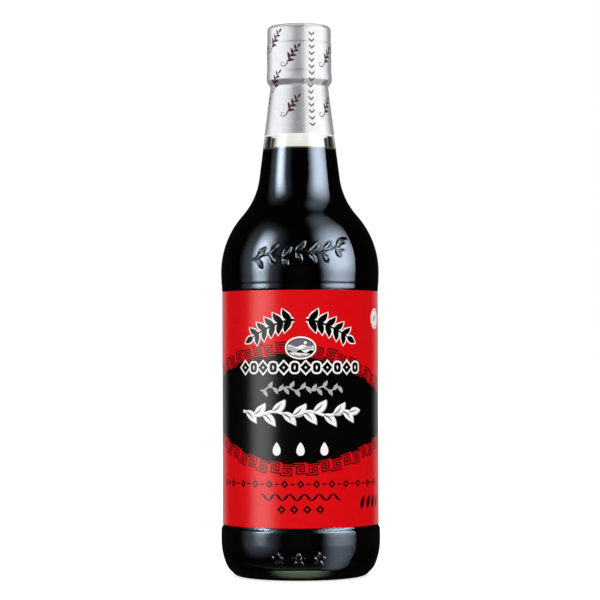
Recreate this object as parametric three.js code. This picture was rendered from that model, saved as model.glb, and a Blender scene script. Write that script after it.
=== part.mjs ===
// A half-litre glass bottle of dark soy sauce, shut and full, with a wrap-round paper label
// and a silver shrink capsule over its cap.
// Millimetres, +Z up. The origin is the centre of the base, and the label's front faces -Y.
import * as THREE from "three";

// Driving dimensions

const SEGMENTS = 48; // facets round the axis
const TOTAL_HEIGHT = 243.2;
const FILL_HEIGHT = 188.0; // level of the sauce, just under the capsule's edge

// Body of the bottle
const BUMPER_RADIUS = 35.0; // widest band, below the label
const BUMPER_BOTTOM = 16.0;
const BUMPER_TOP = 21.0;
const PANEL_RADIUS = 34.25; // shallow recess that the label lies in
const PANEL_BOTTOM = 22.8;
const PANEL_TOP = 126.0;
const SEAM_HEIGHT = 128.6; // fine mould line round the body, above the label
const SEAM_STEP = 0.15;
const SEAM_RADIUS = 34.7;
const SHOULDER_RADIUS = 34.86; // widest point above the label
const SHOULDER_HEIGHT = 134.0;
const SHOULDER_SWEEP = 38.0; // radius of the round shoulder
const THROAT_SWEEP = 31.0; // radius of the hollow curve between shoulder and neck
const NECK_SLOPE = 0.128; // radius gained for each millimetre down the neck
const NECK_TOP_RADIUS = 12.43; // glass, where the cone ends under the cap
const NECK_TOP = 217.4;
const FINISH_RADIUS = 12.2; // plain glass collar that the cap sits on
const MOUTH_HEIGHT = 238.6;
const LIP_ROUND = 1.0;

// Foot of the bottle
const HEEL_SWEEP = 28.0;
const HEEL_CORNER = 9.0;
const BEARING_INNER_RADIUS = 21.5; // flat ring that the bottle stands on
const PUNT_RISE = 4.0; // dome pushed up under the base

// Inside of the glass
const WALL = 2.75;
const INNER_HEEL_ROUND = 9.0;
const INNER_FLOOR = 6.2; // lowest point inside
const INNER_DOME_RISE = 2.6; // the floor swells over the punt

// Sauce, label and capsule
const SAUCE_GAP = 0.3;
const SKIN_GAP = 0.05; // between the glass and what is wrapped round it
const LABEL_THICKNESS = 0.15;
const LABEL_BOTTOM = 23.2;
const LABEL_TOP = 125.3;
const LABEL_LAP = 6.0; // overlap of the label's ends, at the back
const FILM_THICKNESS = 0.15;
const CAPSULE_BOTTOM = 194.5;
const CAP_RADIUS = 14.25;
const CAP_BAND_RADIUS = 14.45; // the cap's lower band swells a little
const CAP_BAND_TOP = 223.5;
const CAP_BOTTOM = 219.6;
const CAP_TOP_ROUND = 1.9;

const NECK_ANGLE = Math.atan(NECK_SLOPE);

// Outline helpers: a point is (radius, height)

const at = (radius, height) => new THREE.Vector2(radius, height);

// Points on a circle, from one angle to another, ends included.
// Angle 0 points outwards and a quarter turn points up.
function arc(centre, radius, from, to, steps) {
  return Array.from({ length: steps + 1 }, (_, i) => {
    const angle = from + ((to - from) * i) / steps;
    return at(centre.x + radius * Math.cos(angle), centre.y + radius * Math.sin(angle));
  });
}

// An S between two points: level with the axis at both ends.
function easeBetween(a, b, steps) {
  return Array.from({ length: steps + 1 }, (_, i) => {
    const share = i / steps;
    return at(a.x + ((b.x - a.x) * (1 - Math.cos(Math.PI * share))) / 2, a.y + (b.y - a.y) * share);
  });
}

// A hollow curve between two points: upright at the first and level at the second.
function hollowBetween(a, b, steps) {
  return Array.from({ length: steps + 1 }, (_, i) => {
    const angle = ((Math.PI / 2) * i) / steps;
    return at(a.x + (b.x - a.x) * (1 - Math.cos(angle)), a.y + (b.y - a.y) * Math.sin(angle));
  });
}

// A shallow dome from the axis out to a rim, as a slice of a circle.
function dome(rimRadius, rimHeight, rise, steps) {
  const sphere = (rimRadius ** 2 + rise ** 2) / (2 * rise);
  const centre = at(0, rimHeight + rise - sphere);
  return arc(centre, sphere, Math.PI / 2, Math.acos(rimRadius / sphere), steps);
}

// Radius of the neck's cone at a height, less a depth into its wall.
function neckRadius(height, depth = 0) {
  return NECK_TOP_RADIUS + (NECK_TOP - height) * NECK_SLOPE - depth / Math.cos(NECK_ANGLE);
}

// Centres of the shoulder's round and of the throat's hollow curve.
// The hollow curve touches both the neck's cone and the round.
const shoulderCentre = at(SHOULDER_RADIUS - SHOULDER_SWEEP, SHOULDER_HEIGHT);
const throatCentre = findThroatCentre();

function findThroatCentre() {
  // The centre lies on the cone moved out by THROAT_SWEEP,
  // at SHOULDER_SWEEP + THROAT_SWEEP from the round's centre.
  const along = at(-Math.sin(NECK_ANGLE), Math.cos(NECK_ANGLE));
  const start = at(neckRadius(SHOULDER_HEIGHT, -THROAT_SWEEP), SHOULDER_HEIGHT);
  const offset = start.clone().sub(shoulderCentre);
  const reach = SHOULDER_SWEEP + THROAT_SWEEP;
  const half = along.dot(offset);
  const distance = -half + Math.sqrt(half ** 2 - offset.lengthSq() + reach ** 2);
  return start.addScaledVector(along, distance);
}

// Shoulder and throat, from the widest point up to the cone, at a depth into the wall.
function shoulderAndThroat(depth, roundSteps, hollowSteps) {
  const towards = throatCentre.clone().sub(shoulderCentre).angle();
  const round = arc(shoulderCentre, SHOULDER_SWEEP - depth, 0, towards, roundSteps);
  const hollowEnd = Math.PI + NECK_ANGLE;
  const hollow = arc(throatCentre, THROAT_SWEEP + depth, towards + Math.PI, hollowEnd, hollowSteps);
  return [...round, ...hollow.slice(1)];
}

// Solids

const quarter = Math.PI / 2;

// Turns a closed outline round the axis. Angle 0 of the turning is the front.
function turned(outline) {
  return new THREE.LatheGeometry(outline, SEGMENTS).rotateX(quarter);
}

function glassOutside() {
  const heelCentre = at(BUMPER_RADIUS - HEEL_SWEEP, BUMPER_BOTTOM);
  const cornerReach = HEEL_SWEEP - HEEL_CORNER;
  const cornerDrop = BUMPER_BOTTOM - HEEL_CORNER;
  const cornerCentre = at(heelCentre.x + Math.sqrt(cornerReach ** 2 - cornerDrop ** 2), HEEL_CORNER);
  const cornerEnd = cornerCentre.clone().sub(heelCentre).angle() - 2 * Math.PI;
  return [
    ...dome(BEARING_INNER_RADIUS, 0, PUNT_RISE, 4),
    ...arc(cornerCentre, HEEL_CORNER, -quarter, cornerEnd, 6),
    ...arc(heelCentre, HEEL_SWEEP, cornerEnd, 0, 4).slice(1),
    ...easeBetween(at(BUMPER_RADIUS, BUMPER_TOP), at(PANEL_RADIUS, PANEL_BOTTOM), 4),
    at(PANEL_RADIUS, PANEL_TOP),
    at(SEAM_RADIUS - SEAM_STEP, SEAM_HEIGHT - SEAM_STEP),
    at(SEAM_RADIUS, SEAM_HEIGHT + SEAM_STEP),
    ...shoulderAndThroat(0, 8, 7),
    at(NECK_TOP_RADIUS, NECK_TOP),
    at(FINISH_RADIUS, NECK_TOP + 1),
    ...arc(at(FINISH_RADIUS - LIP_ROUND, MOUTH_HEIGHT - LIP_ROUND), LIP_ROUND, 0, quarter, 2),
  ];
}

// The inside from the middle of the floor up to a height on the neck's cone, at a gap off the glass.
function glassInside(height, gap = 0) {
  const depth = WALL + gap;
  const bodyRadius = SHOULDER_RADIUS - depth;
  const heelRound = INNER_HEEL_ROUND - gap;
  const heelCentre = at(bodyRadius - heelRound, INNER_FLOOR + INNER_HEEL_ROUND);
  return [
    ...dome(heelCentre.x, INNER_FLOOR + gap, INNER_DOME_RISE, 4),
    ...arc(heelCentre, heelRound, -quarter, 0, 4).slice(1),
    ...shoulderAndThroat(depth, 6, 5),
    at(neckRadius(height, depth), height),
  ];
}

function glassBottle() {
  const boreRadius = neckRadius(NECK_TOP, WALL);
  const lipCentre = at(boreRadius + LIP_ROUND, MOUTH_HEIGHT - LIP_ROUND);
  const bore = arc(lipCentre, LIP_ROUND, quarter, Math.PI, 2);
  return turned([...glassOutside(), ...bore, ...glassInside(NECK_TOP).reverse()]);
}

function soySauce() {
  return turned([...glassInside(FILL_HEIGHT, SAUCE_GAP), at(0, FILL_HEIGHT)]);
}

// The label's strip seen from above: it runs once round the panel, and its last end lies over its first.
function label() {
  const round = PANEL_RADIUS + SKIN_GAP;
  const lapAngle = LABEL_LAP / round;
  const step = (2 * Math.PI) / SEGMENTS;
  const turnedBack = Array.from({ length: SEGMENTS + 1 }, (_, i) => -Math.PI + i * step);
  const angles = [-Math.PI - lapAngle / 2, ...turnedBack, Math.PI + lapAngle / 2];
  const liftEnd = Math.PI - lapAngle;
  const liftStart = liftEnd - lapAngle;
  const inner = angles.map((angle) => {
    const lift = THREE.MathUtils.smoothstep(angle, liftStart, liftEnd);
    return { angle, radius: round + lift * (LABEL_THICKNESS + SKIN_GAP) };
  });
  const outer = inner.map(({ angle, radius }) => ({ angle, radius: radius + LABEL_THICKNESS })).reverse();
  const outline = [...inner, ...outer].map(({ angle, radius }) =>
    at(radius * Math.sin(angle), -radius * Math.cos(angle)),
  );
  return new THREE.ExtrudeGeometry(new THREE.Shape(outline), {
    depth: LABEL_TOP - LABEL_BOTTOM,
    bevelEnabled: false,
  }).translate(0, 0, LABEL_BOTTOM);
}

// Film drawn tight over the cap and down the neck, and one with the cap that it hides.
function neckCapsule() {
  const waist = neckRadius(NECK_TOP, -SKIN_GAP - FILM_THICKNESS);
  const collarRadius = FINISH_RADIUS + SKIN_GAP;
  return turned([
    at(0, MOUTH_HEIGHT + SKIN_GAP),
    at(collarRadius, MOUTH_HEIGHT + SKIN_GAP),
    at(collarRadius, NECK_TOP + 1 + SKIN_GAP),
    at(neckRadius(NECK_TOP, -SKIN_GAP), NECK_TOP + SKIN_GAP),
    at(neckRadius(CAPSULE_BOTTOM, -SKIN_GAP), CAPSULE_BOTTOM),
    at(neckRadius(CAPSULE_BOTTOM, -SKIN_GAP - FILM_THICKNESS), CAPSULE_BOTTOM),
    ...hollowBetween(at(waist, NECK_TOP), at(CAP_BAND_RADIUS, CAP_BOTTOM), 5),
    ...easeBetween(at(CAP_BAND_RADIUS, CAP_BAND_TOP - 2), at(CAP_RADIUS, CAP_BAND_TOP), 3),
    ...arc(at(CAP_RADIUS - CAP_TOP_ROUND, TOTAL_HEIGHT - CAP_TOP_ROUND), CAP_TOP_ROUND, 0, quarter, 5),
    at(0, TOTAL_HEIGHT),
  ]);
}

// Assembly

const finishes = {
  glass: { color: 0xdfe8e0, roughness: 0.04, metalness: 0, transparent: true, opacity: 0.35 },
  sauce: { color: 0x120806, roughness: 0.08, metalness: 0 },
  paper: { color: 0xdc0a16, roughness: 0.45, metalness: 0 },
  film: { color: 0xd2d3d8, roughness: 0.32, metalness: 0.9 },
};

function piece(name, geometry, finish) {
  const mesh = new THREE.Mesh(geometry, new THREE.MeshStandardMaterial(finishes[finish]));
  mesh.name = name;
  return mesh;
}

const bottle = new THREE.Group();
bottle.name = "soy_sauce_bottle";
bottle.add(
  piece("glass_bottle", glassBottle(), "glass"),
  piece("soy_sauce", soySauce(), "sauce"),
  piece("label", label(), "paper"),
  piece("neck_capsule", neckCapsule(), "film"),
);

export default bottle;
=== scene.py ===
"""Looks of a half-litre glass bottle of dark soy sauce, shut and full.

Sizes are in millimetres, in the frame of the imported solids: +Z is up, the origin is the centre of the base
and the label's front faces -Y. Angles round the axis start at the front and grow towards +X.
"""

import math
from functools import reduce

import bmesh
import bpy
import numpy as np
from mathutils import Euler, Matrix, Vector
from mathutils.geometry import delaunay_2d_cdt


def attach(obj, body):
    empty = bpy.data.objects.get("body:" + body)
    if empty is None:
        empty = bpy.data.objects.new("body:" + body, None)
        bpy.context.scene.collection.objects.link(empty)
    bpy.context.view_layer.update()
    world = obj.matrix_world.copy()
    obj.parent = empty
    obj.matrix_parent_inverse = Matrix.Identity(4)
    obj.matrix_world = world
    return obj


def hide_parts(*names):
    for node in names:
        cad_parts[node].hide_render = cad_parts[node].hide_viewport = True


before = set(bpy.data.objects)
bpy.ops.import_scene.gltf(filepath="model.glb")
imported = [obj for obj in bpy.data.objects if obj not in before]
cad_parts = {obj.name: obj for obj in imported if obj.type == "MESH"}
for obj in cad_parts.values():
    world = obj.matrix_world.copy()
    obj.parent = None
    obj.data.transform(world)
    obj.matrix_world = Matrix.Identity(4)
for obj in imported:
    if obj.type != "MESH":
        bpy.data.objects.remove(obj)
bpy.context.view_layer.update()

MM = 0.001
QUARTER = math.pi / 2

# Body of the bottle
BUMPER_RADIUS = 35.0
BUMPER_BOTTOM = 16.0
BUMPER_TOP = 21.0
PANEL_RADIUS = 34.25
PANEL_BOTTOM = 22.8
LEDGE_RISE = 0.8  # the glass comes out again this far above the label's top edge
SEAM_HEIGHT = 128.6
SEAM_STEP = 0.15
SEAM_RADIUS = 34.7
SHOULDER_RADIUS = 34.86
SHOULDER_HEIGHT = 134.0
SHOULDER_SWEEP = 38.0
RELIEF_RUN = 16.0  # the shoulder's relief lies within this much of its curve
THROAT_SWEEP = 31.0
NECK_SLOPE = 0.128
NECK_ANGLE = math.atan(NECK_SLOPE)
NECK_TOP_RADIUS = 12.43
NECK_TOP = 217.4
FINISH_RADIUS = 12.2
MOUTH_HEIGHT = 238.6
LIP_ROUND = 1.0
HEEL_SWEEP = 28.0
HEEL_CORNER = 9.0
BEARING_INNER_RADIUS = 21.5
PUNT_RISE = 4.0

# Inside of the glass, and the sauce
WALL = 2.75
INNER_HEEL_ROUND = 9.0
INNER_FLOOR = 6.2
INNER_DOME_RISE = 2.6
FILL_HEIGHT = 188.0
SAUCE_BITE = 0.15  # the sauce reaches this far into the wall, so that no air shows between them
MENISCUS_RISE = 0.7
MENISCUS_REACH = 2.2

# Label and capsule
SKIN_GAP = 0.05
LABEL_THICKNESS = 0.15
LABEL_BOTTOM = 23.2
LABEL_TOP = 125.3
LABEL_LAP = 6.0
FILM_THICKNESS = 0.15
CAPSULE_BOTTOM = 194.5
CAP_RADIUS = 14.25
CAP_BAND_RADIUS = 14.45
CAP_BAND_TOP = 223.5
CAP_TOP_ROUND = 1.9
TOTAL_HEIGHT = 243.2


# Outlines in (radius, height)


def line(start, end, spacing):
    steps = max(1, math.ceil(math.dist(start, end) / spacing))
    return np.linspace(start, end, steps + 1)


def arc(centre, radius, start, end, spacing):
    """Points on a circle. Angle 0 points away from the axis and a quarter turn points up."""
    steps = max(2, math.ceil(abs(end - start) * radius / spacing))
    angles = np.linspace(start, end, steps + 1)
    return np.asarray(centre) + radius * np.column_stack((np.cos(angles), np.sin(angles)))


def ease(start, end, steps):
    """An S between two points, upright at both ends."""
    share = np.linspace(0, 1, steps + 1)
    swing = (1 - np.cos(np.pi * share)) / 2
    (r0, z0), (r1, z1) = start, end
    return np.column_stack((r0 + (r1 - r0) * swing, z0 + (z1 - z0) * share))


def dome(rim_radius, rim_height, rise, spacing):
    """A shallow dome from the axis out to a rim."""
    sphere = (rim_radius**2 + rise**2) / (2 * rise)
    return arc((0, rim_height + rise - sphere), sphere, QUARTER, math.acos(rim_radius / sphere), spacing)


def joined(*runs):
    """One outline from several, without the points that two of them share."""
    points = np.concatenate(runs)
    fresh = np.linalg.norm(np.diff(points, axis=0), axis=1) > 1e-6
    return points[np.concatenate(([True], fresh))]


def courses(points):
    """Unit directions along a line of points."""
    steps = np.gradient(points, axis=0)
    return steps / np.linalg.norm(steps, axis=1)[:, None]


def distances(points):
    """How far along a line each of its points lies."""
    return np.concatenate(([0], np.cumsum(np.linalg.norm(np.diff(points, axis=0), axis=1))))


def along_line(stations, run, values):
    """Pairs of values at some distances along a line, from those at its points."""
    return np.column_stack([np.interp(stations, run, values[:, k]) for k in (0, 1)])


def round_axis(radius, angles, height):
    """Points at angles round the bottle's axis."""
    return np.column_stack((radius * np.sin(angles), -radius * np.cos(angles), height))


def neck_radius(height, depth=0.0):
    """Radius of the neck's cone, less a depth into its wall."""
    return NECK_TOP_RADIUS + (NECK_TOP - height) * NECK_SLOPE - depth / math.cos(NECK_ANGLE)


def find_throat_centre():
    """Centre of the hollow curve that touches both the neck's cone and the shoulder's round."""
    along = np.array((-math.sin(NECK_ANGLE), math.cos(NECK_ANGLE)))
    start = np.array((neck_radius(SHOULDER_HEIGHT, -THROAT_SWEEP), SHOULDER_HEIGHT))
    offset = start - SHOULDER_CENTRE
    half = along @ offset
    reach = SHOULDER_SWEEP + THROAT_SWEEP
    return start + along * (-half + math.sqrt(half**2 - offset @ offset + reach**2))


SHOULDER_CENTRE = np.array((SHOULDER_RADIUS - SHOULDER_SWEEP, SHOULDER_HEIGHT))
THROAT_CENTRE = find_throat_centre()


def shoulder_and_throat(depth, low_spacing, high_spacing):
    """From the widest point up to the neck's cone, at a depth into the wall."""
    across, up = THROAT_CENTRE - SHOULDER_CENTRE
    towards = math.atan2(up, across)
    relief_end = RELIEF_RUN / SHOULDER_SWEEP
    sweep = SHOULDER_SWEEP - depth
    return joined(
        arc(SHOULDER_CENTRE, sweep, 0, relief_end, low_spacing),
        arc(SHOULDER_CENTRE, sweep, relief_end, towards, high_spacing),
        arc(THROAT_CENTRE, THROAT_SWEEP + depth, towards + math.pi, math.pi + NECK_ANGLE, high_spacing),
    )


def glass_outside():
    """From the middle of the punt, under the base, up to the lip."""
    heel_centre = np.array((BUMPER_RADIUS - HEEL_SWEEP, BUMPER_BOTTOM))
    corner_drop = HEEL_CORNER - BUMPER_BOTTOM
    corner_run = math.sqrt((HEEL_SWEEP - HEEL_CORNER) ** 2 - corner_drop**2)
    corner_centre = heel_centre + (corner_run, corner_drop)
    corner_end = math.atan2(corner_drop, corner_run)
    lip_centre = (FINISH_RADIUS - LIP_ROUND, MOUTH_HEIGHT - LIP_ROUND)
    below_seam = (SEAM_RADIUS - SEAM_STEP, SEAM_HEIGHT - SEAM_STEP)
    above_seam = (SEAM_RADIUS, SEAM_HEIGHT + SEAM_STEP)
    ledge = (SEAM_RADIUS - SEAM_STEP, LABEL_TOP + LEDGE_RISE)
    neck_top = (NECK_TOP_RADIUS, NECK_TOP)
    shoulder = shoulder_and_throat(0, 0.32, 1.0)
    return joined(
        dome(BEARING_INNER_RADIUS, 0, PUNT_RISE, 3),
        line((BEARING_INNER_RADIUS, 0), (corner_centre[0], 0), 1),
        arc(corner_centre, HEEL_CORNER, -QUARTER, corner_end, 0.4),
        arc(heel_centre, HEEL_SWEEP, corner_end, 0, 0.2),
        line((BUMPER_RADIUS, BUMPER_BOTTOM), (BUMPER_RADIUS, BUMPER_TOP), 2),
        ease((BUMPER_RADIUS, BUMPER_TOP), (PANEL_RADIUS, PANEL_BOTTOM), 10),
        line((PANEL_RADIUS, PANEL_BOTTOM), (PANEL_RADIUS, LABEL_TOP), 8),
        ease((PANEL_RADIUS, LABEL_TOP), ledge, 5),
        line(ledge, below_seam, 1),
        ease(below_seam, above_seam, 4),
        ease(above_seam, (SHOULDER_RADIUS, SHOULDER_HEIGHT), 6),
        shoulder,
        line(shoulder[-1], neck_top, 3),
        line(neck_top, (FINISH_RADIUS, NECK_TOP + 1), 0.5),
        arc(lip_centre, LIP_ROUND, 0, QUARTER, 0.3),
    )


def glass_inside(height, bite=0.0):
    """From the middle of the inner floor up to a height in the neck, a bite further into the wall."""
    depth = WALL - bite
    body_radius = SHOULDER_RADIUS - depth
    heel_round = INNER_HEEL_ROUND + bite
    heel_centre = (body_radius - heel_round, INNER_FLOOR + INNER_HEEL_ROUND)
    shoulder = shoulder_and_throat(depth, 2, 2)
    return joined(
        dome(heel_centre[0], INNER_FLOOR - bite, INNER_DOME_RISE, 3),
        arc(heel_centre, heel_round, -QUARTER, 0, 1),
        line((body_radius, heel_centre[1]), (body_radius, SHOULDER_HEIGHT), 12),
        shoulder,
        line(shoulder[-1], (neck_radius(height, depth), height), 4),
    )


# Meshes


def even_angles(count):
    return np.arange(count) * (2 * math.pi / count) - math.pi


def turned(outline, angles, lift=None):
    """Points and faces of an outline turned round the axis, facing to the right of its course.

    lift(angles, radius, height) moves a row's points outwards, square to the outline.
    """
    points, faces, rows = [], [], []
    for (radius, height), (along_r, along_z) in zip(outline, courses(outline)):
        if radius < 1e-6:
            rows.append([len(points)])
            points.append((0.0, 0.0, height))
            continue
        rise = lift(angles, radius, height) if lift else np.zeros(len(angles))
        rows.append(list(range(len(points), len(points) + len(angles))))
        points.extend(round_axis(radius + along_z * rise, angles, height - along_r * rise))
    for lower, upper in zip(rows, rows[1:]):
        for i in range(len(angles)):
            steps = ((lower, i), (lower, i + 1), (upper, i + 1), (upper, i))
            corners = [row[k % len(row)] for row, k in steps]
            faces.append(tuple(dict.fromkeys(corners)))  # a triangle where a row is one point
    return np.array(points), faces


def merged(*shells):
    """Points and faces of several shells as one."""
    faces, count = [], 0
    for points, more_faces in shells:
        faces += [tuple(i + count for i in face) for face in more_faces]
        count += len(points)
    return np.concatenate([points for points, _ in shells]), faces


def add_object(name, data):
    thing = bpy.data.objects.new(name, data)
    bpy.context.scene.collection.objects.link(thing)
    return thing


def mesh_piece(name, points, faces, materials, numbers=None, sharp_from=50.0, weld=False):
    """A smooth-shaded object from points in millimetres. numbers gives each face's material."""
    mesh = bpy.data.meshes.new(name)
    mesh.from_pydata((np.asarray(points) * MM).tolist(), [], faces)
    for material in materials:
        mesh.materials.append(material)
    if numbers is not None:
        mesh.polygons.foreach_set("material_index", np.asarray(numbers, np.int32))
    if weld:
        shell = bmesh.new()
        shell.from_mesh(mesh)
        bmesh.ops.remove_doubles(shell, verts=shell.verts, dist=0.002 * MM)
        shell.to_mesh(mesh)
        shell.free()
    mesh.shade_smooth()
    mesh.set_sharp_from_angle(angle=math.radians(sharp_from))
    return add_object(name, mesh)


def printed(prints, columns, rows):
    """A rectangle cut into triangles along the outlines of what is printed on it.

    prints is a list of (ink number, outline), and a later one covers an earlier one. Ink 0 is the ground.
    Returns the corners (across, up), the triangles and each triangle's ink.
    """
    points, edges, outlines = [], [], []
    for across in columns:
        edges.append((len(points), len(points) + 1))
        points += [(across, rows[0]), (across, rows[-1])]
    for up in rows:
        edges.append((len(points), len(points) + 1))
        points += [(columns[0], up), (columns[-1], up)]
    for _, outline in prints:
        outlines.append(list(range(len(points), len(points) + len(outline))))
        points += [tuple(p) for p in counter_clockwise(outline)]
    vectors = [Vector(p) for p in points]
    corners, _, triangles, _, _, owners = delaunay_2d_cdt(vectors, edges, outlines, 0, 1e-5)
    inks = [prints[max(owner)][0] if owner else 0 for owner in owners]
    return np.array([tuple(c) for c in corners]), [tuple(t) for t in triangles], inks


def counter_clockwise(outline):
    x, y = np.asarray(outline).T
    area = np.sum(x * np.roll(y, -1) - np.roll(x, -1) * y)
    return outline if area > 0 else outline[::-1]


# Flat shapes for print, in (across, up)


def turn(points, tilt):
    """Turns points about the origin by degrees."""
    c, s = math.cos(math.radians(tilt)), math.sin(math.radians(tilt))
    return np.asarray(points) @ np.array(((c, s), (-s, c)))


def ellipse(centre, half_width, half_height, sides=40):
    angles = np.arange(sides) * (2 * math.pi / sides)
    return np.column_stack((half_width * np.cos(angles), half_height * np.sin(angles))) + centre


def rounded_box(centre, width, height, corner):
    inset = np.array((width / 2 - corner, height / 2 - corner))
    corners = []
    for i, sign in enumerate(((1, 1), (-1, 1), (-1, -1), (1, -1))):
        corners.append(arc(inset * sign, corner, i * QUARTER, (i + 1) * QUARTER, corner / 3))
    return np.concatenate(corners) + centre


def lozenge(centre, width, height):
    return np.array(((width / 2, 0), (0, height / 2), (-width / 2, 0), (0, -height / 2))) + centre


def ribbon(spine, half_widths):
    """A band along a line of points, with a half-width at each."""
    spine = np.asarray(spine)
    along, up = courses(spine).T
    side = np.column_stack((-up, along)) * np.asarray(half_widths)[:, None]
    outline = np.concatenate((spine + side, (spine - side)[::-1]))
    gap = np.linalg.norm(outline - np.roll(outline, 1, axis=0), axis=1)
    return outline[gap > 1e-4]


def stroke(start, end, width):
    return ribbon(np.linspace(start, end, 3), np.full(3, width / 2))


def leaf(root, length, width, tilt, bend=0.1, grow=0.0, steps=14):
    """A pointed leaf from its root outwards. bend bows it to one side and grow widens it all round."""
    share = np.linspace(0, 1, steps + 1)
    reach = -grow + share * (length + 2 * grow)
    bow = bend * length * np.sin(math.pi * share)
    half = (width / 2 + grow) * np.sin(math.pi * share**0.85) ** 0.9
    return ribbon(turn(np.column_stack((reach, bow)), tilt) + root, half)


def mirrored(prints):
    """The same prints on the other side of the front."""
    return [(ink, np.asarray(outline) * (-1, 1)) for ink, outline in prints]


def curl(start, length, tilt, turns, width, steps=30):
    """A thin tendril that rolls up as it goes."""
    share = np.linspace(0, 1, steps + 1)
    heading = math.radians(tilt) + turns * 2 * math.pi * share**1.6
    step = length / steps
    spine = np.cumsum(np.column_stack((np.cos(heading), np.sin(heading))) * step, axis=0) + start
    return ribbon(spine, width / 2 * (1 - 0.7 * share))


# Materials

PAPER_GLOSS = 0.08
NOISE_LOW = 0.3  # most of a noise lies between these two
NOISE_HIGH = 0.7


def set_values(node, values):
    """Sets a node's properties and inputs by name."""
    for key, value in values.items():
        if key in node.bl_rna.properties:
            setattr(node, key, value)
        else:
            node.inputs[key.replace("_", " ")].default_value = value


def new_material(name, **values):
    """A material, its tree and its shader, with the shader's values set."""
    material = bpy.data.materials.new(name)
    material.use_nodes = True
    tree = material.node_tree
    shader = tree.nodes["Principled BSDF"]
    set_values(shader, values)
    return material, tree, shader


def add_node(tree, kind, **values):
    node = tree.nodes.new(kind)
    set_values(node, values)
    return node


def noise(tree, scale, detail=3.0):
    """Noise in the object's own space, with features about 1 / scale metres across."""
    place = add_node(tree, "ShaderNodeTexCoord")
    texture = add_node(tree, "ShaderNodeTexNoise", Scale=scale, Detail=detail)
    tree.links.new(place.outputs["Object"], texture.inputs["Vector"])
    return texture.outputs["Fac"]


def spread(tree, source, low, high, start=NOISE_LOW, end=NOISE_HIGH, kind="LINEAR"):
    """A value that goes from low to high as a source goes from start to end."""
    ends = {"From_Min": start, "From_Max": end, "To_Min": low, "To_Max": high}
    ramp = add_node(tree, "ShaderNodeMapRange", interpolation_type=kind, **ends)
    tree.links.new(source, ramp.inputs["Value"])
    return ramp.outputs["Result"]


def parts_of(tree, kind, output):
    """X, Y and Z of what a node gives for a place."""
    place = add_node(tree, kind)
    split = add_node(tree, "ShaderNodeSeparateXYZ")
    tree.links.new(place.outputs[output], split.inputs["Vector"])
    return split.outputs


def worked(tree, operation, *sources):
    """The result of a sum on one or two values."""
    node = add_node(tree, "ShaderNodeMath", operation=operation)
    for source, socket in zip(sources, node.inputs):
        tree.links.new(source, socket)
    return node.outputs["Value"]


def shade(tree, source, dark, light, start=NOISE_LOW, end=NOISE_HIGH):
    """A colour that goes from dark to light as a source goes from start to end."""
    ramp = add_node(tree, "ShaderNodeValToRGB")
    for stop, place, colour in zip(ramp.color_ramp.elements, (start, end), (dark, light)):
        stop.position = place
        stop.color = (*colour, 1)
    tree.links.new(source, ramp.inputs["Fac"])
    return ramp.outputs["Color"]


def bumped(tree, shader, source, strength, distance_mm):
    bump = add_node(tree, "ShaderNodeBump", Strength=strength, Distance=distance_mm * MM)
    tree.links.new(source, bump.inputs["Height"])
    tree.links.new(bump.outputs["Normal"], shader.inputs["Normal"])


def ink_on(
    name, colour, roughness, fibre_scale, fibre_depth_mm, metallic=0.0, mottle=0.04, gloss=0.5, glow=0.0
):
    """Print on paper or film: a colour with faint mottling, over the fine grain of what carries it."""
    # glow is painted light: the ink gives off light in its own colour, as a lamp would.
    light = {"Emission_Color": (*colour, 1), "Emission_Strength": glow}
    material, tree, shader = new_material(name, Metallic=metallic, Specular_IOR_Level=gloss, **light)
    cloud = noise(tree, 420.0)
    darker = tuple(c * (1 - mottle) for c in colour)
    lighter = tuple(min(1.0, c * (1 + mottle)) for c in colour)
    tree.links.new(shade(tree, cloud, darker, lighter), shader.inputs["Base Color"])
    fibre = noise(tree, fibre_scale, 4.0)
    tree.links.new(spread(tree, fibre, roughness - 0.03, roughness + 0.03), shader.inputs["Roughness"])
    bumped(tree, shader, fibre, 0.25, fibre_depth_mm)
    return material


def paper_ink(name, colour, roughness=0.22):
    return ink_on(name, colour, roughness, 1800.0, 0.004, gloss=PAPER_GLOSS)


def film_ink(name, colour, roughness=0.28, metallic=0.75, glow=0.0):
    return ink_on(name, colour, roughness, 400.0, 0.005, metallic, 0.03, glow=glow)


def clear_glass():
    """Clear glass with a faint green tint in its depth, and the soft waviness that a mould leaves."""
    material, tree, shader = new_material(
        "clear_glass", Base_Color=(1, 1, 1, 1), Transmission_Weight=1.0, IOR=1.52
    )
    tree.links.new(spread(tree, noise(tree, 300.0), 0.0, 0.03), shader.inputs["Roughness"])
    bumped(tree, shader, noise(tree, 45.0, 1.0), 0.05, 1.0)
    depth = add_node(tree, "ShaderNodeVolumeAbsorption", Density=30.0, Color=(0.76, 0.95, 0.76, 1))
    tree.links.new(depth.outputs["Volume"], tree.nodes["Material Output"].inputs["Volume"])
    return material


def dark_sauce():
    """Almost black brown, with painted amber light at the thin edge at the top, in place of light shining
    through the sauce there.
    """
    material, tree, shader = new_material("dark_sauce", Roughness=0.12, Specular_IOR_Level=0.02)
    up = parts_of(tree, "ShaderNodeTexCoord", "Object")["Z"]
    lit_thin_edge = (FILL_HEIGHT - 0.2) * MM, (FILL_HEIGHT + MENISCUS_RISE) * MM
    share = spread(tree, up, 0, 1, *lit_thin_edge)
    # Painted light: the sauce turns amber at its thin top edge, as if lit through.
    colour = shade(tree, share, (0.0014, 0.0009, 0.0007), (0.45, 0.26, 0.09), 0, 1)
    tree.links.new(colour, shader.inputs["Base Color"])
    return material


# Relief of the glass

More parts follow.
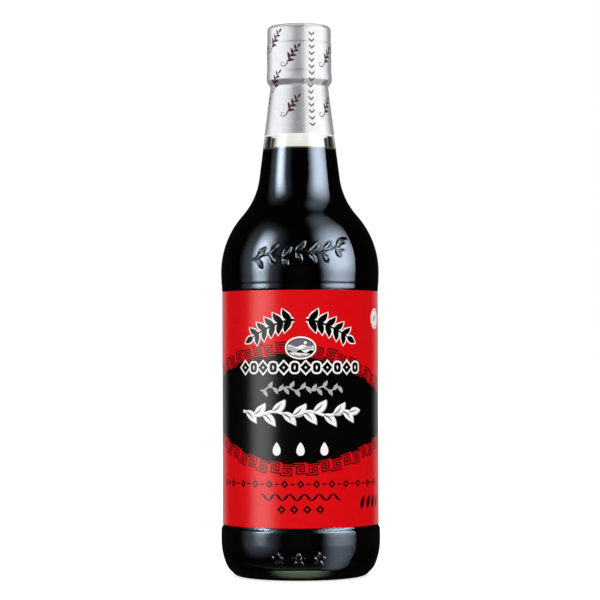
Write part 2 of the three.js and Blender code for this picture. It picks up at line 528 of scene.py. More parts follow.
GARLAND_HEIGHT = 7.0  # up the shoulder from its widest point, along the glass
GARLAND_SLOPE = 0.09
GARLAND_REACH = 20.0
GARLAND_WAVE = 1.1
GARLAND_TURNS = 0.42  # radians of its wave to a millimetre
GARLAND_STEM = 0.6  # half the stem's width
GARLAND_STEM_EDGE = 0.45
GARLAND_STEM_SHARE = 0.8  # the stem's height as a share of the leaves'
GARLAND_LEAVES = ((7.0, 3.0, 50), (5.4, 2.6, -56))  # length, width and tilt above and below the stem
RELIEF_DEPTH = 0.6
RELIEF_EDGE = 0.5
HEEL_ROW_DROP = 6.4  # down the heel from the bumper, along the glass
HEEL_ROW_PITCH = 8.6
HEEL_ROW_SHIFT = -0.9
HEEL_LEAF = (3.6, 1.6)  # length and width
HEEL_LEAF_COUNT = 5
HEEL_ARC_BOTTOM = 5.8
KNURL_COUNT = 72
KNURL_DEPTH = 0.3
KNURL_HEIGHT = 1.9
MOULD_SEAM_DEPTH = 0.07
MOULD_SEAM_WIDTH = 0.3
RELIEF_WINDOW = 32.0  # degrees to each side of the front, where the glass has fine steps
FINE_STEP = 0.42
COARSE_STEP = 2.5


def smooth(values):
    values = np.clip(values, 0, 1)
    return values * values * (3 - 2 * values)


def raised_leaf(across, up, root, length, width, tilt):
    """Height from 0 to 1 of a leaf with a sunk midrib."""
    c, s = math.cos(math.radians(tilt)), math.sin(math.radians(tilt))
    x = (across - root[0]) * c + (up - root[1]) * s
    y = (up - root[1]) * c - (across - root[0]) * s
    share = np.clip(x / length, 0, 1)
    inside = width / 2 * np.sin(math.pi * share) - np.abs(y)
    rib = 1 - 0.55 * np.exp(-((y / 0.28) ** 2))
    return smooth(inside / RELIEF_EDGE) * rib


def garland(across, up):
    """A leafy spray in low relief that rises to the right, from 0 to 1."""

    def stem_line(x):
        return GARLAND_HEIGHT + GARLAND_SLOPE * x + GARLAND_WAVE * np.cos(x * GARLAND_TURNS)

    stem = smooth((GARLAND_STEM - np.abs(up - stem_line(across))) / GARLAND_STEM_EDGE)
    height = stem * (np.abs(across) < GARLAND_REACH) * GARLAND_STEM_SHARE
    for i in range(-3, 4):
        root_x = (i - 0.3) * GARLAND_REACH / 3.4
        root = (root_x, stem_line(root_x))
        for leaf_size in GARLAND_LEAVES:
            height = np.maximum(height, raised_leaf(across, up, root, *leaf_size))
    return height


def heel_row(across, up):
    """Three raised rosettes of leaves, one of which points up in each, from 0 to 1."""
    height = np.zeros_like(across)
    for i in (-1, 0, 1):
        heart = (i * HEEL_ROW_PITCH + HEEL_ROW_SHIFT, -HEEL_ROW_DROP)
        for j in range(HEEL_LEAF_COUNT):
            tilt = 90 + j * 360 / HEEL_LEAF_COUNT
            height = np.maximum(height, raised_leaf(across, up, heart, *HEEL_LEAF, tilt))
    return height


def glass_relief(angles, radius, height):
    """How far the outside of the glass stands out, in millimetres."""
    rise = np.zeros(len(angles))
    if not PANEL_BOTTOM - 2 < height < LABEL_TOP + 2 and 2 < height < CAPSULE_BOTTOM - 2:
        beside = radius * (np.abs(angles) - QUARTER)
        rise += MOULD_SEAM_DEPTH * np.exp(-((beside / MOULD_SEAM_WIDTH) ** 2))
    if SHOULDER_HEIGHT < height < SHOULDER_HEIGHT + RELIEF_RUN:
        up = SHOULDER_SWEEP * math.asin((height - SHOULDER_HEIGHT) / SHOULDER_SWEEP)
        rise += RELIEF_DEPTH * garland(angles * radius, np.full(len(angles), up))
    if HEEL_ARC_BOTTOM < height < BUMPER_BOTTOM:
        up = HEEL_SWEEP * math.asin((height - BUMPER_BOTTOM) / HEEL_SWEEP)
        rise += RELIEF_DEPTH * heel_row(angles * radius, np.full(len(angles), up))
    if 0 < height < KNURL_HEIGHT and radius > BEARING_INNER_RADIUS:
        bar = np.clip(np.cos(angles * KNURL_COUNT), 0, 1)
        rise += KNURL_DEPTH * math.sin(math.pi * height / KNURL_HEIGHT) * bar
    return rise


def relief_angles():
    """Steps round the axis: fine at the front, finest at the two mould seams and coarse elsewhere."""
    coarse = np.arange(-180, 180, COARSE_STEP)
    fine = np.arange(-RELIEF_WINDOW, RELIEF_WINDOW, FINE_STEP)
    seam = np.arange(-1.0, 1.01, 0.25)
    coarse = coarse[(np.abs(coarse) > RELIEF_WINDOW + 0.3) & (np.abs(np.abs(coarse) - 90) > 1.2)]
    return np.radians(np.sort(np.concatenate((coarse, fine, 90 + seam, seam - 90))))


def make_glass():
    bore_radius = neck_radius(NECK_TOP, WALL)
    lip = arc((bore_radius + LIP_ROUND, MOUTH_HEIGHT - LIP_ROUND), LIP_ROUND, QUARTER, math.pi, 0.3)
    bore = line((bore_radius, MOUTH_HEIGHT - LIP_ROUND), (bore_radius, NECK_TOP), 6)
    outside = glass_outside()
    inside = joined(line(outside[-1], lip[0], 1), lip, bore, glass_inside(NECK_TOP)[::-1])
    angles = relief_angles()
    points, faces = merged(turned(outside, angles, glass_relief), turned(inside, angles))
    return mesh_piece("bottle_glass", points, faces, [clear_glass()], sharp_from=60, weld=True)


def make_sauce():
    wall = glass_inside(FILL_HEIGHT + MENISCUS_RISE, SAUCE_BITE)
    edge_radius = wall[-1][0]
    share = np.linspace(0, 1, 9)[1:]
    fall = MENISCUS_RISE * (1 - share) ** 2.2
    meniscus = np.column_stack((edge_radius - MENISCUS_REACH * share, FILL_HEIGHT + fall))
    surface = joined(meniscus, line(meniscus[-1], (0, FILL_HEIGHT), 3))
    points, faces = turned(joined(wall, surface), even_angles(120))
    return mesh_piece("sauce_fill", points, faces, [dark_sauce()])


# Label

RED, BLACK, WHITE, GREY, MAROON, MAUVE, PAPER = range(7)
LABEL_RADIUS = PANEL_RADIUS + SKIN_GAP + LABEL_THICKNESS
LABEL_COLUMN = 1.5
LABEL_ROW = 4.2

FIELD_CENTRE = np.array((-4.3, 74.2))  # black field, a little left of the front
FIELD_TILT = -3.0
FIELD_REACH = 72.0  # half its length
FIELD_END = 6.4  # half its height towards the ends
FIELD_RISE = 16.6  # how much more it has in the middle
FIELD_FLANK = 70.0
FRET_PITCH = 1.05  # between two lines of the key pattern
FRET_STROKE = 0.58
FRET_STEP = 0.8  # every other key stands this much further out
FRET_RIM = 0.3  # red left inside the innermost line
FRET_KEY = ((0, 0), (4, 0), (4, 3), (2, 3), (2, 2), (3, 2), (3, 1), (1, 1), (1, 4), (5, 4))
FRET_COLUMNS, FRET_ROWS = FRET_KEY[-1]
FRET_GROUND_ROWS = 3  # the red behind a key reaches this far out
OUTLINE = 0.55  # white edge round the black ornament

# Places of the print: distances round the label from the front, and heights
BRANCH_START = (2.6, 112.4)
BRANCH_RUN = 19.0
BRANCH_FALL = 7.2
MEDALLION_CENTRE = np.array((0.2, 100.4))
GRAIN_HEIGHT = 92.0
GRAIN_PITCH = 4.75
GRAIN_COUNT = 12
VINE_HEIGHT = 82.9
VINE_REACH = 18.0
WHITE_BRANCH_HEIGHT = 72.4
WHITE_BRANCH_ENDS = (-27.5, 22.5)
DROP_FOOT = 54.2
DROP_LENGTH = 5.8
DROP_PITCH = 10.4
LOZENGE_HEIGHT = 42.0
LOZENGE_PITCH = 3.45
WAVE_HEIGHT = 36.4
WAVE_REACH = 18.0
WAVE_TURNS = 0.99  # radians to a millimetre
LOWEST_HEIGHT = 31.2
LOWEST_PITCH = 5.6
LEAF_ROW_START = np.array((30.0, 30.6))
LEAF_ROW_PITCH = 4.4
ROUNDEL_CENTRE = np.array((42.6, 113.2))
BACK_PANEL_CENTRE = np.array((87.5, 74.0))


def field_edge(count):
    """Even points round the field from its right end over the top, the ways out of it, and its girth."""
    across = FIELD_REACH * np.sin(np.linspace(QUARTER, -QUARTER, 2001))
    flank = FIELD_END + FIELD_RISE * (1 + np.cos(np.pi * across / FIELD_FLANK)) / 2
    half = flank * np.sqrt(1 - (across / FIELD_REACH) ** 10)
    edge = joined(np.column_stack((across, half)), np.column_stack((across, -half))[::-1])
    run = distances(edge)
    edge = along_line(np.linspace(0, run[-1], count + 1), run, edge)
    along, up = courses(edge).T
    out = np.column_stack((up, -along))
    return turn(edge, FIELD_TILT) + FIELD_CENTRE, turn(out, FIELD_TILT), run[-1]


def field_and_fret():
    """The black field, and the key pattern round it: squared spirals that stand in and out by turns."""
    edge, out, length = field_edge(2000)
    stations = np.linspace(0, length, len(edge))
    keys = 2 * round(length / (2 * FRET_COLUMNS * FRET_PITCH))
    pitch = length / (FRET_COLUMNS * keys)

    def bent(along, off):
        along = np.mod(along, length)
        return along_line(along, stations, edge) + along_line(along, stations, out) * off[:, None]

    def block(low, high):
        run = np.linspace(low[0], high[0], max(2, math.ceil((high[0] - low[0]) / 1.2) + 1))
        under, over = np.full(len(run), low[1]), np.full(len(run), high[1])
        return np.concatenate((bent(run, under), bent(run[::-1], over)))

    half = FRET_STROKE / 2
    grounds, bars = [], []
    for key in range(keys):
        flipped = key % 2
        path = np.array(FRET_KEY, float)
        if flipped:
            path[:, 1] = FRET_ROWS - path[:, 1]
        start = key * FRET_COLUMNS * pitch
        path *= (pitch, FRET_PITCH)
        path += (start, half + FRET_RIM + FRET_STEP * flipped)
        link = path[-1] + (0, FRET_STEP * (1 - 2 * flipped))
        low = np.array((start - half, FRET_STEP * flipped))
        ground = (FRET_COLUMNS * pitch + FRET_STROKE, FRET_GROUND_ROWS * FRET_PITCH)
        grounds.append((RED, block(low, low + ground)))
        for a, b in zip(path, [*path[1:], link]):
            bars.append((MAROON, block(np.minimum(a, b) - half, np.maximum(a, b) + half)))
    field = (edge + out * (FRET_STEP + FRET_PITCH))[:-1:8]
    return [(BLACK, field)] + grounds + bars


def branch():
    """A leafy branch that bows down to the right, black with a white edge."""
    stations = np.linspace(0, 1, 21)
    across, up = BRANCH_START
    spine = np.column_stack((across + BRANCH_RUN * stations, up - BRANCH_FALL * stations**1.6))
    along, rise = courses(spine).T
    course = np.degrees(np.arctan2(rise, along))
    twigs = [(spine[-1], 5.2, 2.6, course[-1], 0.0)]
    for i in range(1, 20, 4):
        size = 1.0 - 0.2 * stations[i]
        for way in (-1, 1):
            twigs.append((spine[i], 6.4 * size, 2.9 * size, course[i] + way * 55, way * -0.12))
    stem = np.linspace(0.55, 0.35, len(spine))
    edged = [(WHITE, leaf(*twig, grow=OUTLINE)) for twig in twigs]
    edged.append((WHITE, ribbon(spine, stem + OUTLINE)))
    filled = [(BLACK, leaf(*twig)) for twig in twigs]
    filled.append((BLACK, ribbon(spine, stem)))
    return edged + filled


def oval_band(half_width, half_height, low, high):
    """The part of an oval between two lines, each of which gives its height at a place across."""
    across = np.linspace(-half_width, half_width, 61)[1:-1]
    rim = half_height * np.sqrt(1 - (across / half_width) ** 2)
    under, over = (np.clip(edge(across), -rim, rim) for edge in (low, high))
    kept = over - under > 0.02
    top = np.column_stack((across, over))[kept]
    bottom = np.column_stack((across, under))[kept]
    return np.concatenate((top, bottom[::-1]))


def medallion():
    """Small oval with hills under a dusky sky."""
    centre = MEDALLION_CENTRE
    half_width, half_height = 5.7, 3.8
    rings = ((WHITE, 1.1), (BLACK, 0.4), (WHITE, 0.0))
    prints = [(ink, ellipse(centre, half_width + rim, half_height + rim)) for ink, rim in rings]
    bands = (
        (MAUVE, lambda x: 0.9 + 0.45 * np.sin(1.1 * x + 0.5), lambda x: 9 + x),
        (GREY, lambda x: 0.2 * x - 1.4, lambda x: 0.1 + 0.7 * np.sin(0.8 * x - 1.2)),
        (BLACK, lambda x: -2.2 - 0.1 * x, lambda x: -1.5 + 0.6 * np.sin(1.3 * x + 2.0)),
        (GREY, lambda x: -9 + x, lambda x: -2.9 + 0.2 * np.sin(2.0 * x)),
    )
    for ink, low, high in bands:
        prints.append((ink, oval_band(half_width, half_height, low, high) + centre))
    prints.append((WHITE, ellipse(centre + (2.0, 2.2), 0.7, 0.7, sides=20)))
    return prints


def grain_chain():
    """A row of black grains with white edges, round and pointed by turns."""
    places = [((i - (GRAIN_COUNT - 1) / 2) * GRAIN_PITCH, GRAIN_HEIGHT) for i in range(GRAIN_COUNT)]
    prints = []
    for ink, grow in ((WHITE, 0.75), (BLACK, 0.0)):
        for i, place in enumerate(places):
            if i % 2:
                grain = rounded_box(place, 3.3 + 2 * grow, 4.2 + 2 * grow, 1.3 + grow)
            else:
                grain = lozenge(place, 4.7 + 2.6 * grow, 5.0 + 2.6 * grow)
            prints.append((ink, grain))
    prints += [(WHITE, lozenge(place, 0.9, 2.2)) for place in places[1::2]]
    prints += [(WHITE, ellipse(place, 0.45, 0.45, sides=12)) for place in places[::2]]
    return prints


def vine():
    """A thin wavy stem with small leaves, light grey on the black."""
    across = np.linspace(-VINE_REACH, VINE_REACH, 91)
    stem = np.column_stack((across, VINE_HEIGHT + 0.8 * np.sin(across * 0.83)))
    prints = [(GREY, ribbon(stem, np.full(len(stem), 0.3)))]
    for i in range(3, 90, 6):
        way = 1 if i % 4 == 1 else -1
        prints.append((GREY, leaf(stem[i], 3.5, 1.7, way * 52, way * -0.1)))
    return prints


def white_branch():
    """A large white branch with a leaf to each side by turns, shaded grey at the lower right."""
    across = np.linspace(*WHITE_BRANCH_ENDS, 101)
    stem = np.column_stack((across, WHITE_BRANCH_HEIGHT + 0.9 * np.sin(across * 0.4)))
    half = np.full(len(stem), 0.5)
    lower_right = np.array((0.35, -0.35))
    leaves = [(stem[-1], 6.6, 3.2, 8.0, 0.0)]
    for i, spot in enumerate(range(3, 98, 9)):
        way = 1 if i % 2 else -1
        leaves.append((stem[spot], 7.8, 3.7, way * 41.0, way * -0.1))
    prints = [(GREY, leaf(twig[0] + lower_right, *twig[1:])) for twig in leaves]
    prints += [(WHITE, leaf(*twig)) for twig in leaves]
    prints += [(GREY, ribbon(stem + lower_right, half)), (WHITE, ribbon(stem, half))]
    for root, length, width, tilt, bend in leaves:
        prints.append((BLACK, leaf(root, 0.72 * length, 0.14 * width, tilt, 1.2 * bend)))
    return prints


def drops():
    """Three white drops under the branch."""
    share = np.linspace(0, 1, 22)
    prints = []
    for i in (-1, 0, 1):
        spine = np.column_stack((np.full(22, i * DROP_PITCH), DROP_FOOT + DROP_LENGTH * share))
        half = 2.1 * np.sqrt(share) * (1 - share) ** 0.9 * 2.1
        prints.append((WHITE, ribbon(spine, half)))
    return prints


def lower_rules():
    """Black on the red: lozenges and dashes, a wave, four lozenges, and leaves at the right."""
    prints = []
    for i in range(-12, 13):
        place = np.array((i * LOZENGE_PITCH, LOZENGE_HEIGHT))
        if i % 2:
            prints.append((BLACK, stroke(place - (0.9, 0), place + (0.9, 0), 0.7)))
        else:
            prints.append((BLACK, lozenge(place, 3.4, 3.6)))
            prints.append((RED, lozenge(place, 1.4, 1.5)))
    across = np.linspace(-WAVE_REACH, WAVE_REACH, 120)
    wave = np.column_stack((across, WAVE_HEIGHT + 1.3 * np.sin(across * WAVE_TURNS)))
    prints.append((BLACK, ribbon(wave, 0.25 + 0.3 * np.cos(across * WAVE_TURNS) ** 2)))
    for i in (-1.5, -0.5, 0.5, 1.5):
        for ink, size in ((BLACK, 3.9), (RED, 1.5)):
            prints.append((ink, lozenge((i * LOWEST_PITCH, LOWEST_HEIGHT), size, size)))
    for i in range(4):
        prints.append((BLACK, leaf(LEAF_ROW_START + (LEAF_ROW_PITCH * i, 0), 6.4, 2.6, 70, 0.08)))
    return prints


def roundel():
    """White disc with a red ring and a leaf, at the right."""
    discs = ((WHITE, 4.5), (RED, 3.8), (WHITE, 3.5))
    prints = [(ink, ellipse(ROUNDEL_CENTRE, size, size)) for ink, size in discs]
    prints.append((GREY, leaf(ROUNDEL_CENTRE - (1.9, 1.2), 4.4, 2.4, 35)))
    return prints


def back_panels():
    """White panels with plain rules on one and bars on the other, at the back."""
    prints = [(WHITE, rounded_box(BACK_PANEL_CENTRE * (side, 1), 31.0, 80.0, 2.0)) for side in (-1, 1)]
    for i in range(17):
        up = 109.5 - i * 4.4
        width = 0.7 if i in (0, 2, 16) else 0.22
        prints.append((BLACK, stroke((74.5, up), (100.5, up), width)))
    left = -100.0
    for i in range(10):
        up = 108.0 - i * 4.0
        reach = 24.0 - 5.0 * ((i * 7) % 4)
        prints.append((GREY, stroke((left, up), (left + reach, up), 1.0)))
    for i in range(26):
        width = 0.3 + 0.25 * ((i * 5) % 4)
        middle = left + width / 2
        prints.append((BLACK, stroke((middle, 42.0), (middle, 60.0), width)))
        left += width + 0.3 + 0.2 * ((i * 3) % 3)
    return prints


def label_prints():
    prints = field_and_fret() + branch() + mirrored(branch())
    prints += medallion() + grain_chain() + vine() + white_branch() + drops()
    return prints + lower_rules() + roundel() + back_panels()


def wrapped(corners, depth):
    """Label points: wound round the panel, with the last end lifted over the first."""
    angles = corners[:, 0] / LABEL_RADIUS
    lap = LABEL_LAP / LABEL_RADIUS
    lift = smooth((angles - (math.pi - 2 * lap)) / lap) * (LABEL_THICKNESS + SKIN_GAP)
    radius = LABEL_RADIUS - depth + lift
    return round_axis(radius, angles, corners[:, 1])


def open_edges(triangles):
    """The edges that only one triangle has, in that triangle's order."""
    owned = {(t[i], t[(i + 1) % 3]) for t in triangles for i in range(3)}
    return [(a, b) for a, b in owned if (b, a) not in owned]


def make_label():
    half = math.pi * LABEL_RADIUS + LABEL_LAP / 2
    columns = np.linspace(-half, half, round(2 * half / LABEL_COLUMN) + 1)
    rows = np.linspace(LABEL_BOTTOM, LABEL_TOP, round((LABEL_TOP - LABEL_BOTTOM) / LABEL_ROW) + 1)
    corners, triangles, inks = printed(label_prints(), columns, rows)
    count = len(corners)
    points = np.concatenate((wrapped(corners, 0), wrapped(corners, LABEL_THICKNESS)))
    rims = [(a + count, b + count, b, a) for a, b in open_edges(triangles)]
    faces = triangles + [tuple(i + count for i in reversed(t)) for t in triangles] + rims
    numbers = inks + [PAPER] * (len(triangles) + len(rims))
    materials = [
        paper_ink("label_red", (0.72, 0.0008, 0.0035)),
        paper_ink("label_black", (0.0022, 0.0018, 0.0016)),
        paper_ink("label_white", (0.95, 0.94, 0.92)),
        paper_ink("label_grey", (0.46, 0.45, 0.43)),
        paper_ink("label_maroon", (0.035, 0.0015, 0.003)),
        paper_ink("label_mauve", (0.16, 0.13, 0.19)),
        paper_ink("label_paper", (0.74, 0.72, 0.68), 0.7),
    ]
    return mesh_piece("wrap_label", points, faces, materials, numbers)


# Capsule

SILVER, PLUM, SLATE, STRIP, LINING_GLOW = range(5)
CAPSULE_COLUMNS = 120
TEAR_LEFT = 2.3  # edges of the tear strip, along the cap's girth
TEAR_RIGHT = 12.4
TEAR_LIFT = 0.07
ARROW_PLACE = 5.6  # the row of arrows, along the cap's girth
ARROW_PITCH = 2.9
PUCKER_DEPTH = 0.04
CROWN_BOTTOM = 234.8  # the cap is a little narrower above this
CROWN_STEP = 0.15
LEDGE_BOTTOM = 215.8  # from here up to the ledge's top, the film comes out from the neck to the cap's rim
LEDGE_TOP = 219.2
SPRIG_COLUMNS = 10
SPRIG_FIRST = -2.7
SPRIG_SIZE = 9.0
SPRIG_HEIGHTS = ((8.4, 31.0), (19.8, 38.0))  # lower ends, up the film, in even and odd columns


def capsule_outside():
    """From the film's lower edge up the neck, over the cap's side and round its top edge."""
    depth = -SKIN_GAP - FILM_THICKNESS
    waist = (neck_radius(LEDGE_BOTTOM, depth), LEDGE_BOTTOM)
    crown = CAP_RADIUS - CROWN_STEP
    top_centre = (crown - CAP_TOP_ROUND, TOTAL_HEIGHT - CAP_TOP_ROUND)
    rim = (CAP_BAND_RADIUS, LEDGE_TOP)
    band_top = (CAP_BAND_RADIUS, CAP_BAND_TOP - 2)
    cap_start = (CAP_RADIUS, CAP_BAND_TOP)
    crown_start = (CAP_RADIUS, CROWN_BOTTOM)
    return joined(
        line((neck_radius(CAPSULE_BOTTOM, depth), CAPSULE_BOTTOM), waist, 1.6),
        ease(waist, rim, 14),
        line(rim, band_top, 1),
        ease(band_top, cap_start, 5),
        line(cap_start, crown_start, 1.6),
        ease(crown_start, (crown, CROWN_BOTTOM + 0.8), 6),
        line((crown, CROWN_BOTTOM + 0.8), (crown, top_centre[1]), 1.6),
        arc(top_centre, CAP_TOP_ROUND, 0, QUARTER, 0.35),
    )


def capsule_lid():
    """From the top edge to the axis, with a faint ring pressed into it."""
    edge = CAP_RADIUS - CROWN_STEP - CAP_TOP_ROUND
    top = TOTAL_HEIGHT
    return joined(
        line((edge, top), (edge - 1.6, top), 0.8),
        ease((edge - 1.6, top), (edge - 2.4, top - 0.25), 4),
        line((edge - 2.4, top - 0.25), (0, top - 0.25), 2),
    )


def capsule_inside():
    """From the axis under the lid, down the hidden cap's hollow to the film's lower edge."""
    collar = FINISH_RADIUS + SKIN_GAP
    under_lid = MOUTH_HEIGHT + SKIN_GAP
    foot = (neck_radius(CAPSULE_BOTTOM, -SKIN_GAP), CAPSULE_BOTTOM)
    shelf = (neck_radius(NECK_TOP, -SKIN_GAP), NECK_TOP + SKIN_GAP)
    return joined(
        line((0, under_lid), (collar, under_lid), 4),
        line((collar, under_lid), (collar, NECK_TOP + 1 + SKIN_GAP), 6),
        line((collar, NECK_TOP + 1 + SKIN_GAP), shelf, 1),
        line(shelf, foot, 3),
        line(foot, (neck_radius(CAPSULE_BOTTOM, -SKIN_GAP - FILM_THICKNESS), CAPSULE_BOTTOM), 1),
    )


def sprig(root, size, tilt):
    """Slanted spray of leaves with a rolled tail, in plum."""
    root = np.asarray(root)
    stalk = turn(np.array(((0, 0), (0.5, 0.06), (1, 0))) * size, tilt) + root
    prints = [(PLUM, ribbon(stalk, [0.3, 0.26, 0.16]))]
    for i, share in enumerate((0.16, 0.3, 0.44, 0.58, 0.72, 0.86)):
        way = 1 if i % 2 else -1
        foot = turn(((share * size, 0.05 * size),), tilt)[0] + root
        length = (0.4 - 0.16 * share) * size
        prints.append((PLUM, leaf(foot, length, 0.42 * length, tilt + way * 48, way * -0.12, steps=10)))
    prints.append((PLUM, leaf(stalk[-1], 0.26 * size, 0.11 * size, tilt, 0.0, steps=10)))
    prints.append((PLUM, curl(root, 0.62 * size, tilt + 165, -0.85, 0.5)))
    return prints


def capsule_prints(height):
    """The tear strip with its arrows, and sprigs in staggered columns beside it."""
    strip = ((TEAR_LEFT, 0), (TEAR_RIGHT, 0), (TEAR_RIGHT, height), (TEAR_LEFT, height))
    prints = [(STRIP, strip)]
    pitch = 2 * math.pi * CAP_RADIUS / SPRIG_COLUMNS
    for column in range(2, SPRIG_COLUMNS + 1):
        across = SPRIG_FIRST + column * pitch
        if across > math.pi * CAP_RADIUS:
            across -= SPRIG_COLUMNS * pitch
        if abs(across) + 0.6 * SPRIG_SIZE > math.pi * CAP_RADIUS:
            continue  # the film's own seam, at the back, stays bare
        for up in SPRIG_HEIGHTS[column % 2]:
            prints += sprig((across - 0.35 * SPRIG_SIZE, up), SPRIG_SIZE, 55)
    arrow = np.array(((0, 0), (1.3, 1.2), (1.3, 2.1), (0, 0.9), (-1.3, 2.1), (-1.3, 1.2)))
    for up in np.arange(3.0, height - 6.0, ARROW_PITCH):
        prints.append((SLATE, arrow + (ARROW_PLACE, up)))
    return prints


def film_lift(across, up, height):
    """The film's relief: the tear strip's second layer, and soft puckers where it was drawn in."""
    angles = across / CAP_RADIUS
    strip = smooth((across - TEAR_LEFT) / 0.35) * smooth((TEAR_RIGHT - across) / 0.35) * TEAR_LIFT
    knee = np.exp(-(((up - 24.0) / 4.5) ** 2))
    hem = np.exp(-((up / 3.0) ** 2))
    crown = np.exp(-(((height - up) / 3.0) ** 2))
    ripple = np.sin(angles * 9 + 1.3 * np.sin(angles * 4)) + 0.6 * np.sin(angles * 17 + up * 0.3)
    return strip + PUCKER_DEPTH * ripple * (0.8 * knee + 0.25 * hem + 0.7 * crown)


def draped(corners, outline):
    """Capsule points: across its girth and up along its outline, with the film's relief."""
    run = distances(outline)
    across, up = corners.T
    radius, height = along_line(up, run, outline).T
    along_r, along_z = along_line(up, run, courses(outline)).T
    between_edges = (up > 1e-3) & (up < run[-1] - 1e-3)
    lift = film_lift(across, up, run[-1]) * between_edges
    return round_axis(radius + lift * along_z, across / CAP_RADIUS, height - lift * along_r)


def make_capsule():
    outline = capsule_outside()
    rows = distances(outline)
    columns = np.linspace(-math.pi, math.pi, CAPSULE_COLUMNS + 1) * CAP_RADIUS
    corners, triangles, inks = printed(capsule_prints(rows[-1]), columns, rows)
    angles = even_angles(CAPSULE_COLUMNS)
    lid, lining = turned(capsule_lid(), angles), turned(capsule_inside(), angles)
    points, faces = merged((draped(corners, outline), triangles), lid, lining)
    numbers = inks + [SILVER] * len(lid[1]) + [LINING_GLOW] * len(lining[1])
    materials = [
        film_ink("film_silver", (0.76, 0.765, 0.79)),
        film_ink("film_plum", (0.05, 0.007, 0.022), 0.4, 0.1),
        film_ink("film_slate", (0.09, 0.09, 0.10), 0.4, 0.2),
        film_ink("film_strip", (0.84, 0.84, 0.85), 0.35, 0.5),
        # The lining glows: painted light in place of the light that comes in through the film and the clear
        # neck.
        film_ink("film_lining_glow", (0.85, 0.85, 0.82), 0.6, 0.0, 0.85),
    ]
    return mesh_piece("shrink_capsule", points, faces, materials, numbers, weld=True)


# The pieces on the frame

PIECES = (
    (make_glass, "glass_bottle", "glass"),
    (make_sauce, "soy_sauce", "sauce"),
    (make_label, "label", "paper"),
    (make_capsule, "neck_capsule", "film"),
)

pieces = {}
for make, node, slot in PIECES:
    piece = make()
    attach(piece, "root")
    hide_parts(node)
    pieces[node] = piece


# Camera

FRAME_PIXELS = 600
FOCAL_PIXELS = 2343.0
SENSOR_WIDTH = 36.0
CAMERA_DISTANCE = 1038.0
EYE_HEIGHT = 94.8
CAMERA_PITCH = 1.49  # degrees up
CAMERA_ROLL = -0.2


def make_camera():
    data = bpy.data.cameras.new("camera")
    data.sensor_width = SENSOR_WIDTH
    data.lens = FOCAL_PIXELS / FRAME_PIXELS * SENSOR_WIDTH
    data.clip_start = 0.01
    camera = add_object("camera", data)
    level = Euler((math.radians(90 + CAMERA_PITCH), 0, 0)).to_matrix()
    facing = (level @ Matrix.Rotation(math.radians(CAMERA_ROLL), 3, "Z")).to_4x4()
    camera.matrix_world = Matrix.Translation(Vector((0, -CAMERA_DISTANCE, EYE_HEIGHT)) * MM) @ facing
    bpy.context.scene.camera = camera


# Studio

AIM = Vector((0, 0, 120)) * MM
LIGHT_DISTANCE = 1.0  # metres
FLOOR_HALF = 30.0  # metres
FLOOR_DROP = 0.05  # millimetres under the base
FLOOR_GLOW = 0.7
GLOSS_LIGHT = 0.01
BACKDROP_LIGHT = 0.95
BACKDROP_EDGE = (20, 9)  # degrees off the front-to-back line, where the backdrop starts and is full
TABLE_LIGHT = 0.5
TABLE_EDGE = (0.02, -0.06)  # heights of a unit direction, where the table starts and is full
PAINT_LIGHT = 0.76


def make_floor():
    quarters = ((-1, -1), (1, -1), (1, 1), (-1, 1))
    corners = [(x * FLOOR_HALF, y * FLOOR_HALF, -FLOOR_DROP * MM) for x, y in quarters]
    mesh = bpy.data.meshes.new("floor")
    mesh.from_pydata(corners, [], [(0, 1, 2, 3)])
    glow = {"Emission_Color": (1, 1, 1, 1), "Emission_Strength": FLOOR_GLOW}
    material, tree, shader = new_material("floor_paint", Roughness=0.9, Specular_IOR_Level=0.0, **glow)
    paint = shade(tree, noise(tree, 3.0), (0.86, 0.86, 0.86), (0.9, 0.9, 0.9))
    tree.links.new(paint, shader.inputs["Base Color"])
    mesh.materials.append(material)
    floor = add_object("floor", mesh)
    for rays in ("diffuse", "glossy", "transmission", "shadow"):
        setattr(floor, f"visible_{rays}", False)


def soft_light(
    name, receiver, azimuths, elevations, radiance, colour=(1, 1, 1), right_edge=None, gives="both"
):
    """Light from a flat card that faces the bottle, for one piece only.

    Each range is four angles in degrees: where the light starts, is full, begins to fade and is gone.
    Azimuth 0 is the camera's side and it grows to the right. Elevation 0 is level. right_edge cuts the
    card there. gives is what the card adds to: gloss, paint or both.
    """
    spans = ((azimuths[0], right_edge or azimuths[3]), (elevations[0], elevations[3]))
    middles = [(low + high) / 2 for low, high in spans]
    reaches = [math.tan(math.radians(high - low) / 2) for low, high in spans]
    data = bpy.data.lights.new(name, "AREA")
    data.shape = "RECTANGLE"
    data.size, data.size_y = (2 * LIGHT_DISTANCE * reach for reach in reaches)
    data.energy = math.pi * data.size * data.size_y * radiance
    data.color = colour
    data.use_nodes = True
    tree = data.node_tree
    card = parts_of(tree, "ShaderNodeNewGeometry", "Parametric")
    fades = []
    for axis, angles, middle, reach in zip("XY", (azimuths, elevations), middles, reaches):
        stops = [0.5 + math.tan(math.radians(angle - middle)) / reach / 2 for angle in angles]
        for start, end in (stops[:2], stops[:1:-1]):
            fades.append(spread(tree, card[axis], 0, 1, start, end, "SMOOTHSTEP"))
    strength = reduce(lambda one, other: worked(tree, "MULTIPLY", one, other), fades)
    tree.links.new(strength, tree.nodes["Emission"].inputs["Strength"])
    light = add_object(name, data)
    az, el = (math.radians(middle) for middle in middles)
    towards = Vector((math.sin(az) * math.cos(el), -math.cos(az) * math.cos(el), math.sin(el)))
    light.location = AIM + towards * LIGHT_DISTANCE
    light.rotation_euler = towards.to_track_quat("Z", "Y").to_euler()
    light.visible_camera = False
    light.visible_transmission = False
    light.visible_diffuse = gives != "gloss"
    light.visible_glossy = gives != "paint"
    group = bpy.data.collections.new(name + "_receivers")
    group.objects.link(pieces[receiver])
    light.light_linking.receiver_collection = group


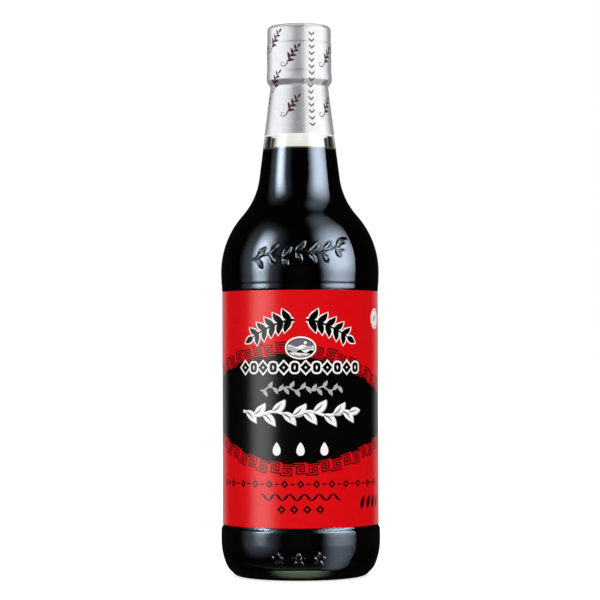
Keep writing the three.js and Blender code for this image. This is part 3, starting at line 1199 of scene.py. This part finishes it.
def make_lights():
    """Cards for the glass, the label and the film, each as that surface mirrors them."""
    glass, paper, film = "glass_bottle", "label", "neck_capsule"
    cool = (0.70, 0.82, 1.0)
    right_az = (26, 56, 60, 98)
    film_el = (-22, 2, 20, 50)
    soft_light("glass_left", glass, (-77, -61, -58, -41), (-15, 18, 20, 54), 24.0, cool)
    soft_light("glass_haze", glass, (-100, -65, -60, -22), (-32, 4, 20, 64), 1.7, cool)
    soft_light("glass_right", glass, right_az, (-15, 15, 22, 60), 16.0, cool, 88)
    soft_light("glass_wash", glass, right_az, (-58, -18, 45, 80), 2.4, cool, 88)
    soft_light("paper_left", paper, (-83, -62, -52, -31), (-40, -20, 30, 50), 16.0, gives="gloss")
    soft_light("paper_front", paper, (-60, -20, 25, 65), (-40, -15, 25, 50), 0.52, gives="paint")
    soft_light("film_left", film, (-136, -98, -75, -12), film_el, 1.25)
    soft_light("film_right", film, (5, 45, 95, 130), film_el, 1.2)
    soft_light("film_front", film, (-55, -20, 20, 55), (-50, -25, 0, 28), 0.32)
    soft_light("film_top", film, (-60, -30, 30, 60), (50, 75, 105, 130), 0.6)
    for side in (-1, 1):
        rim = sorted(side * angle for angle in (130, 145, 165, 180))
        soft_light(f"paper_rim_{side + 2}", paper, rim, (-35, -15, 35, 55), 0.6)
        soft_light(f"film_rim_{side + 2}", film, rim, (-35, -15, 35, 55), 0.2)


def make_world():
    """White to the camera, soft to paint, dim to gloss, and a lit backdrop and table through glass."""
    world = bpy.data.worlds.new("studio")
    world.use_nodes = True
    tree = world.node_tree
    way = parts_of(tree, "ShaderNodeTexCoord", "Generated")
    ahead_or_back = worked(tree, "ABSOLUTE", way["Y"])
    edge = [math.cos(math.radians(angle)) for angle in BACKDROP_EDGE]
    backdrop = spread(tree, ahead_or_back, GLOSS_LIGHT, BACKDROP_LIGHT, *edge, "SMOOTHSTEP")
    table = spread(tree, way["Z"], 0, TABLE_LIGHT, *TABLE_EDGE, "SMOOTHSTEP")
    through_glass = worked(tree, "ADD", backdrop, table)
    shader = tree.nodes["Background"]
    set_values(shader, {"Color": (1, 1, 1, 1), "Strength": GLOSS_LIGHT})
    path = add_node(tree, "ShaderNodeLightPath")
    rays = (
        ("Is Transmission Ray", (1.0, 0.985, 0.93, 1), None),
        ("Is Diffuse Ray", (1, 1, 1, 1), PAINT_LIGHT),
        ("Is Camera Ray", (1, 1, 1, 1), 1.0),
    )
    for kind, colour, strength in rays:
        light = add_node(tree, "ShaderNodeBackground", Color=colour)
        if strength is None:
            tree.links.new(through_glass, light.inputs["Strength"])
        else:
            light.inputs["Strength"].default_value = strength
        mix = add_node(tree, "ShaderNodeMixShader")
        tree.links.new(path.outputs[kind], mix.inputs["Fac"])
        tree.links.new(shader.outputs[0], mix.inputs[1])
        tree.links.new(light.outputs[0], mix.inputs[2])
        shader = mix
    tree.links.new(shader.outputs[0], tree.nodes["World Output"].inputs["Surface"])
    bpy.context.scene.world = world


make_camera()
make_floor()
make_lights()
make_world()
bpy.context.scene.view_settings.view_transform = "Standard"
